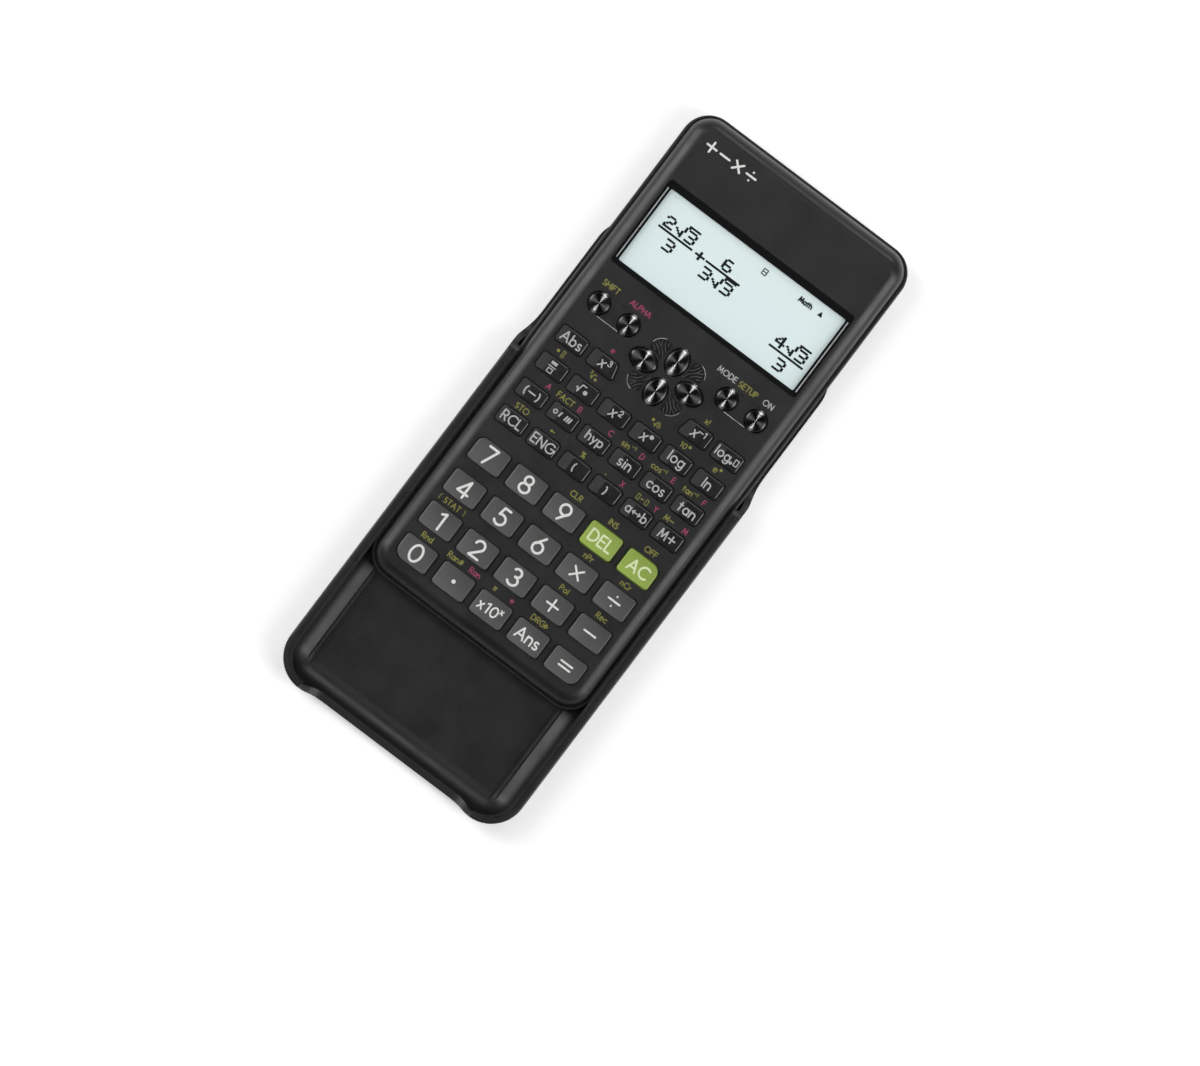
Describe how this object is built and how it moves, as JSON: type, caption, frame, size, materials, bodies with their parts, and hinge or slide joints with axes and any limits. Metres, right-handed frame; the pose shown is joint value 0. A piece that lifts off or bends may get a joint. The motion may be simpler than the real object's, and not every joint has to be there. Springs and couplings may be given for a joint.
{
  "type": "scientific calculator",
  "caption": "Pocket scientific calculator with a hard cover that slides along its side flange, sprung keys over a domed rubber sheet, and a cell behind a door.",
  "frame": {"origin": "centre of the calculator's footprint, on the plane the hard cover rests on", "axes": "+Z out of the key face, +Y towards the display end, +X to the reader's right"},
  "size_m": [0.082, 0.2013, 0.0158],
  "materials": {
    "face_plastic": "fine spark texture, satin",
    "rear_plastic": "fine spark texture, matt",
    "cover_plastic": "fine spark texture, matt",
    "window": "clear polished plastic",
    "lcd_glass": "pale reflective liquid crystal panel",
    "dome_rubber": "moulded silicone",
    "board": "solder mask over laminate",
    "cell_jacket": "printed metal jacket",
    "screw_steel": "zinc plated",
    "key_grey": "satin",
    "key_green": "satin",
    "key_black": "polished"
  },
  "bodies": {
    "calculator": {"front_cover": "face_plastic", "rear_cover": "rear_plastic", "display_window": "window", "lcd_panel": "lcd_glass", "dome_sheet": "dome_rubber", "circuit_board": "board", "battery": "cell_jacket", "battery_door": "rear_plastic", "screws": "screw_steel"},
    "hard_cover": {"slide_cover": "cover_plastic"},
    "digit_7_button": {"key_digit_7": "key_grey"},
    "digit_8_button": {"key_digit_8": "key_grey"},
    "digit_9_button": {"key_digit_9": "key_grey"},
    "delete_button": {"key_delete": "key_green"},
    "all_clear_button": {"key_all_clear": "key_green"},
    "digit_4_button": {"key_digit_4": "key_grey"},
    "digit_5_button": {"key_digit_5": "key_grey"},
    "digit_6_button": {"key_digit_6": "key_grey"},
    "multiply_button": {"key_multiply": "key_grey"},
    "divide_button": {"key_divide": "key_grey"},
    "digit_1_button": {"key_digit_1": "key_grey"},
    "digit_2_button": {"key_digit_2": "key_grey"},
    "digit_3_button": {"key_digit_3": "key_grey"},
    "plus_button": {"key_plus": "key_grey"},
    "minus_button": {"key_minus": "key_grey"},
    "digit_0_button": {"key_digit_0": "key_grey"},
    "decimal_point_button": {"key_decimal_point": "key_grey"},
    "exponent_button": {"key_exponent": "key_grey"},
    "answer_button": {"key_answer": "key_grey"},
    "equals_button": {"key_equals": "key_grey"},
    "absolute_button": {"key_absolute": "key_black"},
    "cube_button": {"key_cube": "key_black"},
    "reciprocal_button": {"key_reciprocal": "key_black"},
    "log_base_button": {"key_log_base": "key_black"},
    "fraction_button": {"key_fraction": "key_black"},
    "square_root_button": {"key_square_root": "key_black"},
    "square_button": {"key_square": "key_black"},
    "power_button": {"key_power": "key_black"},
    "log_button": {"key_log": "key_black"},
    "natural_log_button": {"key_natural_log": "key_black"},
    "negate_button": {"key_negate": "key_black"},
    "degrees_button": {"key_degrees": "key_black"},
    "hyperbolic_button": {"key_hyperbolic": "key_black"},
    "sine_button": {"key_sine": "key_black"},
    "cosine_button": {"key_cosine": "key_black"},
    "tangent_button": {"key_tangent": "key_black"},
    "recall_button": {"key_recall": "key_black"},
    "engineering_button": {"key_engineering": "key_black"},
    "bracket_open_button": {"key_bracket_open": "key_black"},
    "bracket_close_button": {"key_bracket_close": "key_black"},
    "decimal_fraction_button": {"key_decimal_fraction": "key_black"},
    "memory_plus_button": {"key_memory_plus": "key_black"},
    "shift_button": {"key_shift": "key_black"},
    "alpha_button": {"key_alpha": "key_black"},
    "mode_button": {"key_mode": "key_black"},
    "on_button": {"key_on": "key_black"},
    "cursor_up_button": {"key_cursor_up": "key_black"},
    "cursor_down_button": {"key_cursor_down": "key_black"},
    "cursor_left_button": {"key_cursor_left": "key_black"},
    "cursor_right_button": {"key_cursor_right": "key_black"}
  },
  "joints": [
    {"name": "cover_slide", "type": "slide", "parent": "calculator", "child": "hard_cover", "axis": [0, -1, 0], "range_m": [-0.0375, 0.072]},
    {"name": "digit_7_press", "type": "slide", "parent": "calculator", "child": "digit_7_button", "axis": [0, 0, -1], "range_m": [0, 0.001], "stiffness_N_per_m": 50},
    {"name": "digit_8_press", "type": "slide", "parent": "calculator", "child": "digit_8_button", "axis": [0, 0, -1], "range_m": [0, 0.001], "stiffness_N_per_m": 50},
    {"name": "digit_9_press", "type": "slide", "parent": "calculator", "child": "digit_9_button", "axis": [0, 0, -1], "range_m": [0, 0.001], "stiffness_N_per_m": 50},
    {"name": "delete_press", "type": "slide", "parent": "calculator", "child": "delete_button", "axis": [0, 0, -1], "range_m": [0, 0.001], "stiffness_N_per_m": 50},
    {"name": "all_clear_press", "type": "slide", "parent": "calculator", "child": "all_clear_button", "axis": [0, 0, -1], "range_m": [0, 0.001], "stiffness_N_per_m": 50},
    {"name": "digit_4_press", "type": "slide", "parent": "calculator", "child": "digit_4_button", "axis": [0, 0, -1], "range_m": [0, 0.001], "stiffness_N_per_m": 50},
    {"name": "digit_5_press", "type": "slide", "parent": "calculator", "child": "digit_5_button", "axis": [0, 0, -1], "range_m": [0, 0.001], "stiffness_N_per_m": 50, "deforming": ["dome_sheet"]},
    {"name": "digit_6_press", "type": "slide", "parent": "calculator", "child": "digit_6_button", "axis": [0, 0, -1], "range_m": [0, 0.001], "stiffness_N_per_m": 50},
    {"name": "multiply_press", "type": "slide", "parent": "calculator", "child": "multiply_button", "axis": [0, 0, -1], "range_m": [0, 0.001], "stiffness_N_per_m": 50},
    {"name": "divide_press", "type": "slide", "parent": "calculator", "child": "divide_button", "axis": [0, 0, -1], "range_m": [0, 0.001], "stiffness_N_per_m": 50},
    {"name": "digit_1_press", "type": "slide", "parent": "calculator", "child": "digit_1_button", "axis": [0, 0, -1], "range_m": [0, 0.001], "stiffness_N_per_m": 50},
    {"name": "digit_2_press", "type": "slide", "parent": "calculator", "child": "digit_2_button", "axis": [0, 0, -1], "range_m": [0, 0.001], "stiffness_N_per_m": 50},
    {"name": "digit_3_press", "type": "slide", "parent": "calculator", "child": "digit_3_button", "axis": [0, 0, -1], "range_m": [0, 0.001], "stiffness_N_per_m": 50},
    {"name": "plus_press", "type": "slide", "parent": "calculator", "child": "plus_button", "axis": [0, 0, -1], "range_m": [0, 0.001], "stiffness_N_per_m": 50},
    {"name": "minus_press", "type": "slide", "parent": "calculator", "child": "minus_button", "axis": [0, 0, -1], "range_m": [0, 0.001], "stiffness_N_per_m": 50},
    {"name": "digit_0_press", "type": "slide", "parent": "calculator", "child": "digit_0_button", "axis": [0, 0, -1], "range_m": [0, 0.001], "stiffness_N_per_m": 50},
    {"name": "decimal_point_press", "type": "slide", "parent": "calculator", "child": "decimal_point_button", "axis": [0, 0, -1], "range_m": [0, 0.001], "stiffness_N_per_m": 50},
    {"name": "exponent_press", "type": "slide", "parent": "calculator", "child": "exponent_button", "axis": [0, 0, -1], "range_m": [0, 0.001], "stiffness_N_per_m": 50},
    {"name": "answer_press", "type": "slide", "parent": "calculator", "child": "answer_button", "axis": [0, 0, -1], "range_m": [0, 0.001], "stiffness_N_per_m": 50},
    {"name": "equals_press", "type": "slide", "parent": "calculator", "child": "equals_button", "axis": [0, 0, -1], "range_m": [0, 0.001], "stiffness_N_per_m": 50},
    {"name": "absolute_press", "type": "slide", "parent": "calculator", "child": "absolute_button", "axis": [0, 0, -1], "range_m": [0, 0.001], "stiffness_N_per_m": 50},
    {"name": "cube_press", "type": "slide", "parent": "calculator", "child": "cube_button", "axis": [0, 0, -1], "range_m": [0, 0.001], "stiffness_N_per_m": 50},
    {"name": "reciprocal_press", "type": "slide", "parent": "calculator", "child": "reciprocal_button", "axis": [0, 0, -1], "range_m": [0, 0.001], "stiffness_N_per_m": 50},
    {"name": "log_base_press", "type": "slide", "parent": "calculator", "child": "log_base_button", "axis": [0, 0, -1], "range_m": [0, 0.001], "stiffness_N_per_m": 50},
    {"name": "fraction_press", "type": "slide", "parent": "calculator", "child": "fraction_button", "axis": [0, 0, -1], "range_m": [0, 0.001], "stiffness_N_per_m": 50},
    {"name": "square_root_press", "type": "slide", "parent": "calculator", "child": "square_root_button", "axis": [0, 0, -1], "range_m": [0, 0.001], "stiffness_N_per_m": 50},
    {"name": "square_press", "type": "slide", "parent": "calculator", "child": "square_button", "axis": [0, 0, -1], "range_m": [0, 0.001], "stiffness_N_per_m": 50},
    {"name": "power_press", "type": "slide", "parent": "calculator", "child": "power_button", "axis": [0, 0, -1], "range_m": [0, 0.001], "stiffness_N_per_m": 50},
    {"name": "log_press", "type": "slide", "parent": "calculator", "child": "log_button", "axis": [0, 0, -1], "range_m": [0, 0.001], "stiffness_N_per_m": 50},
    {"name": "natural_log_press", "type": "slide", "parent": "calculator", "child": "natural_log_button", "axis": [0, 0, -1], "range_m": [0, 0.001], "stiffness_N_per_m": 50},
    {"name": "negate_press", "type": "slide", "parent": "calculator", "child": "negate_button", "axis": [0, 0, -1], "range_m": [0, 0.001], "stiffness_N_per_m": 50},
    {"name": "degrees_press", "type": "slide", "parent": "calculator", "child": "degrees_button", "axis": [0, 0, -1], "range_m": [0, 0.001], "stiffness_N_per_m": 50},
    {"name": "hyperbolic_press", "type": "slide", "parent": "calculator", "child": "hyperbolic_button", "axis": [0, 0, -1], "range_m": [0, 0.001], "stiffness_N_per_m": 50},
    {"name": "sine_press", "type": "slide", "parent": "calculator", "child": "sine_button", "axis": [0, 0, -1], "range_m": [0, 0.001], "stiffness_N_per_m": 50},
    {"name": "cosine_press", "type": "slide", "parent": "calculator", "child": "cosine_button", "axis": [0, 0, -1], "range_m": [0, 0.001], "stiffness_N_per_m": 50},
    {"name": "tangent_press", "type": "slide", "parent": "calculator", "child": "tangent_button", "axis": [0, 0, -1], "range_m": [0, 0.001], "stiffness_N_per_m": 50},
    {"name": "recall_press", "type": "slide", "parent": "calculator", "child": "recall_button", "axis": [0, 0, -1], "range_m": [0, 0.001], "stiffness_N_per_m": 50},
    {"name": "engineering_press", "type": "slide", "parent": "calculator", "child": "engineering_button", "axis": [0, 0, -1], "range_m": [0, 0.001], "stiffness_N_per_m": 50},
    {"name": "bracket_open_press", "type": "slide", "parent": "calculator", "child": "bracket_open_button", "axis": [0, 0, -1], "range_m": [0, 0.001], "stiffness_N_per_m": 50},
    {"name": "bracket_close_press", "type": "slide", "parent": "calculator", "child": "bracket_close_button", "axis": [0, 0, -1], "range_m": [0, 0.001], "stiffness_N_per_m": 50},
    {"name": "decimal_fraction_press", "type": "slide", "parent": "calculator", "child": "decimal_fraction_button", "axis": [0, 0, -1], "range_m": [0, 0.001], "stiffness_N_per_m": 50},
    {"name": "memory_plus_press", "type": "slide", "parent": "calculator", "child": "memory_plus_button", "axis": [0, 0, -1], "range_m": [0, 0.001], "stiffness_N_per_m": 50},
    {"name": "shift_press", "type": "slide", "parent": "calculator", "child": "shift_button", "axis": [0, 0, -1], "range_m": [0, 0.001], "stiffness_N_per_m": 50},
    {"name": "alpha_press", "type": "slide", "parent": "calculator", "child": "alpha_button", "axis": [0, 0, -1], "range_m": [0, 0.001], "stiffness_N_per_m": 50},
    {"name": "mode_press", "type": "slide", "parent": "calculator", "child": "mode_button", "axis": [0, 0, -1], "range_m": [0, 0.001], "stiffness_N_per_m": 50},
    {"name": "on_press", "type": "slide", "parent": "calculator", "child": "on_button", "axis": [0, 0, -1], "range_m": [0, 0.001], "stiffness_N_per_m": 50},
    {"name": "cursor_up_press", "type": "slide", "parent": "calculator", "child": "cursor_up_button", "axis": [0, 0, -1], "range_m": [0, 0.001], "stiffness_N_per_m": 50},
    {"name": "cursor_down_press", "type": "slide", "parent": "calculator", "child": "cursor_down_button", "axis": [0, 0, -1], "range_m": [0, 0.001], "stiffness_N_per_m": 50},
    {"name": "cursor_left_press", "type": "slide", "parent": "calculator", "child": "cursor_left_button", "axis": [0, 0, -1], "range_m": [0, 0.001], "stiffness_N_per_m": 50},
    {"name": "cursor_right_press", "type": "slide", "parent": "calculator", "child": "cursor_right_button", "axis": [0, 0, -1], "range_m": [0, 0.001], "stiffness_N_per_m": 50}
  ]
}
